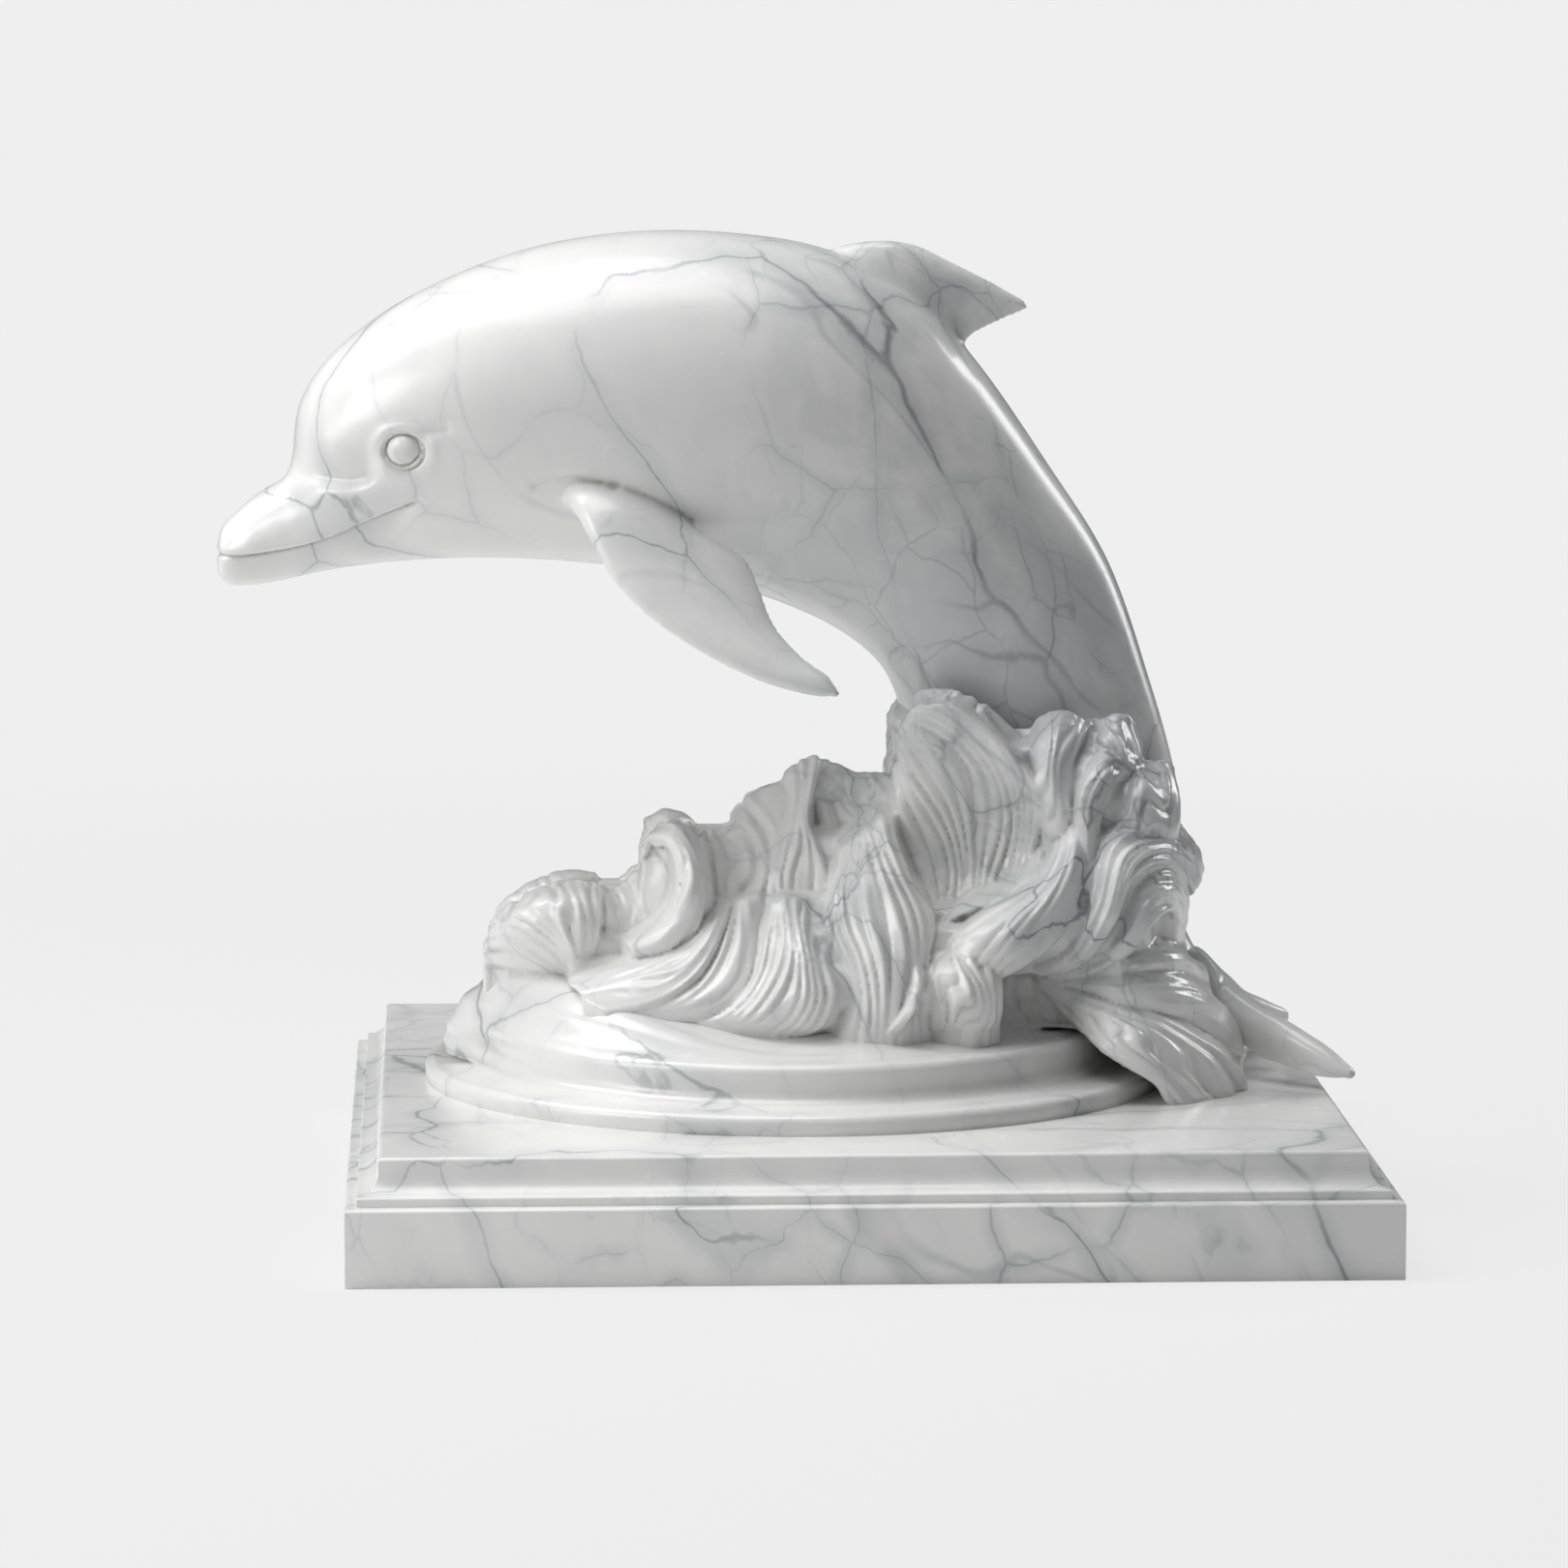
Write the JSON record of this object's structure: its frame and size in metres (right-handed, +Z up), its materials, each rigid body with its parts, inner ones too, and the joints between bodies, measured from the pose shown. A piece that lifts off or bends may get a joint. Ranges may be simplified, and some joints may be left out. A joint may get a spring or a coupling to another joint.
{
  "type": "dolphin figurine",
  "caption": "Carved marble dolphin leaping from a breaking wave on a stepped round disc and a moulded square plinth.",
  "frame": {"origin": "centre of the plinth's underside", "axes": "+Z up out of the plinth, the dolphin's beak points to -X, the plinth's sides are square to X and Y"},
  "size_m": [0.3045, 0.27, 0.2607],
  "materials": {
    "marble": "polished white marble with grey veins"
  },
  "bodies": {
    "root": {"dolphin_figurine": "marble"}
  },
  "joints": []
}
